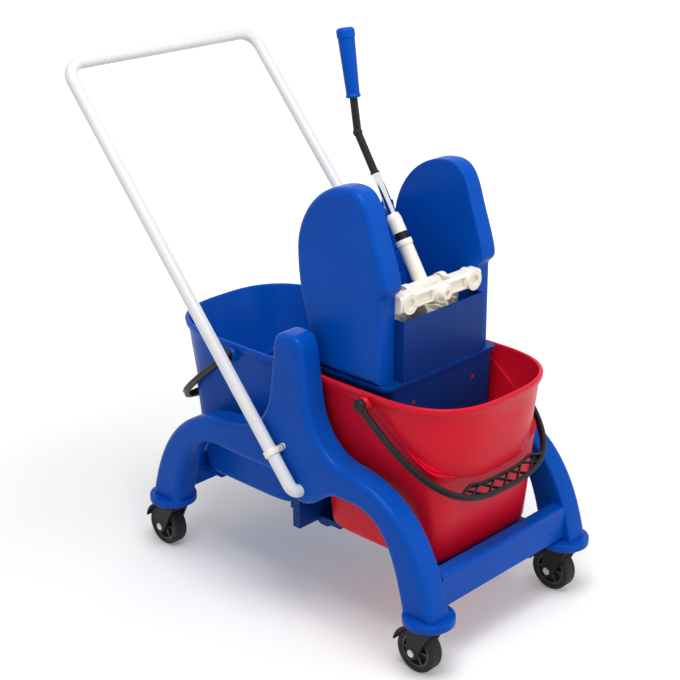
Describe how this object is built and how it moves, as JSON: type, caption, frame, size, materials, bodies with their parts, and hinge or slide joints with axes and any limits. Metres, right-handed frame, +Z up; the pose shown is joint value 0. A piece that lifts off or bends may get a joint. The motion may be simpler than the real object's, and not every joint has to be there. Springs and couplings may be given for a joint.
{
  "type": "double mop bucket trolley",
  "caption": "Mop trolley: red and blue buckets side by side in a blue moulded frame on swivel casters, lever press wringer over the red bucket, bent tube push handle.",
  "frame": {"origin": "on the floor, under the middle of the bounding box", "axes": "+X to the front, the red bucket end; +Y to the left; +Z up"},
  "size_m": [0.86, 0.467, 0.9679],
  "materials": {
    "blue_plastic": "semi-gloss moulded blue",
    "dark_blue_plastic": "semi-gloss moulded dark blue",
    "red_plastic": "semi-gloss moulded red",
    "black_plastic": "satin moulded black",
    "grey_plastic": "moulded dark grey",
    "black_rubber": "matt black rubber",
    "white_plastic": "moulded white",
    "white_paint": "white powder coat",
    "steel": "plain zinc-plated steel",
    "chrome": "bright chrome plate"
  },
  "bodies": {
    "chassis": {"right_side_frame": "blue_plastic", "left_side_frame": "blue_plastic", "caster_sockets": "blue_plastic", "front_crossbar": "blue_plastic", "rear_crossbar": "blue_plastic", "center_beam": "dark_blue_plastic", "beam_screws": "steel", "push_handle": "white_paint", "handle_clips": "white_plastic", "clip_screws": "steel"},
    "caster_fr": {"fork_fr": "black_plastic", "stem_fr": "steel", "axle_fr": "steel"},
    "wheel_fr": {"hub_fr": "grey_plastic", "tyre_fr": "black_rubber"},
    "caster_fl": {"fork_fl": "black_plastic", "stem_fl": "steel", "axle_fl": "steel"},
    "wheel_fl": {"hub_fl": "grey_plastic", "tyre_fl": "black_rubber"},
    "caster_rr": {"fork_rr": "black_plastic", "stem_rr": "steel", "axle_rr": "steel"},
    "wheel_rr": {"hub_rr": "grey_plastic", "tyre_rr": "black_rubber"},
    "caster_rl": {"fork_rl": "black_plastic", "stem_rl": "steel", "axle_rl": "steel"},
    "wheel_rl": {"hub_rl": "grey_plastic", "tyre_rl": "black_rubber"},
    "red_bucket": {"red_bucket": "red_plastic"},
    "red_bail": {"red_bail": "black_plastic"},
    "blue_bucket": {"blue_bucket": "blue_plastic"},
    "blue_bail": {"blue_bail": "black_plastic"},
    "wringer": {"right_cheek": "blue_plastic", "left_cheek": "blue_plastic", "wringer_trough": "dark_blue_plastic", "back_plate": "blue_plastic", "bearing_bridge": "white_plastic", "guide_rods": "steel", "cheek_screws": "steel"},
    "lever": {"pivot_shaft": "steel", "lever_yoke": "white_plastic", "push_bar": "steel", "lever_collar": "black_plastic", "lever_ferrule": "white_plastic", "lever_tube": "chrome", "lever_rod": "black_plastic", "lever_grip": "blue_plastic"},
    "press": {"press_plate": "white_plastic"}
  },
  "joints": [
    {"name": "swivel_fr", "type": "hinge", "parent": "chassis", "child": "caster_fr", "pos_m": [0.38703, -0.179, 0.095], "axis": [0, 0, 1], "continuous": true},
    {"name": "roll_fr", "type": "hinge", "parent": "caster_fr", "child": "wheel_fr", "pos_m": [0.36903, -0.179, 0.038], "axis": [0, 1, 0], "continuous": true},
    {"name": "swivel_fl", "type": "hinge", "parent": "chassis", "child": "caster_fl", "pos_m": [0.38703, 0.179, 0.095], "axis": [0, 0, 1], "continuous": true},
    {"name": "roll_fl", "type": "hinge", "parent": "caster_fl", "child": "wheel_fl", "pos_m": [0.36903, 0.179, 0.038], "axis": [0, 1, 0], "continuous": true},
    {"name": "swivel_rr", "type": "hinge", "parent": "chassis", "child": "caster_rr", "pos_m": [-0.23297, -0.179, 0.095], "axis": [0, 0, 1], "continuous": true},
    {"name": "roll_rr", "type": "hinge", "parent": "caster_rr", "child": "wheel_rr", "pos_m": [-0.25097, -0.179, 0.038], "axis": [0, 1, 0], "continuous": true},
    {"name": "swivel_rl", "type": "hinge", "parent": "chassis", "child": "caster_rl", "pos_m": [-0.23297, 0.179, 0.095], "axis": [0, 0, 1], "continuous": true},
    {"name": "roll_rl", "type": "hinge", "parent": "caster_rl", "child": "wheel_rl", "pos_m": [-0.25097, 0.179, 0.038], "axis": [0, 1, 0], "continuous": true},
    {"name": "red_bucket_lift", "type": "slide", "parent": "chassis", "child": "red_bucket", "axis": [0, 0, 1], "range_m": [0, 0.36]},
    {"name": "blue_bucket_lift", "type": "slide", "parent": "chassis", "child": "blue_bucket", "axis": [0, 0, 1], "range_m": [0, 0.2]},
    {"name": "wringer_lift", "type": "slide", "parent": "red_bucket", "child": "wringer", "axis": [0, 0, 1], "range_m": [0, 0.16]},
    {"name": "red_bail_swing", "type": "hinge", "parent": "red_bucket", "child": "red_bail", "pos_m": [0.22703, 0, 0.4153], "axis": [0, 1, 0], "range_deg": [-105, 0]},
    {"name": "blue_bail_swing", "type": "hinge", "parent": "blue_bucket", "child": "blue_bail", "pos_m": [-0.08497, 0, 0.4153], "axis": [0, 1, 0], "range_deg": [0, 130]},
    {"name": "lever_pull", "type": "hinge", "parent": "wringer", "child": "lever", "pos_m": [0.21103, 0, 0.5673], "axis": [0, 1, 0], "range_deg": [0, 74]},
    {"name": "press_slide", "type": "slide", "parent": "wringer", "child": "press", "axis": [-1, 0, 0], "range_m": [0, 0.0616]}
  ],
  "couplings": [
    {"joint": "press_slide", "follows": "lever_pull", "m_per_rad": 0.04641}
  ]
}
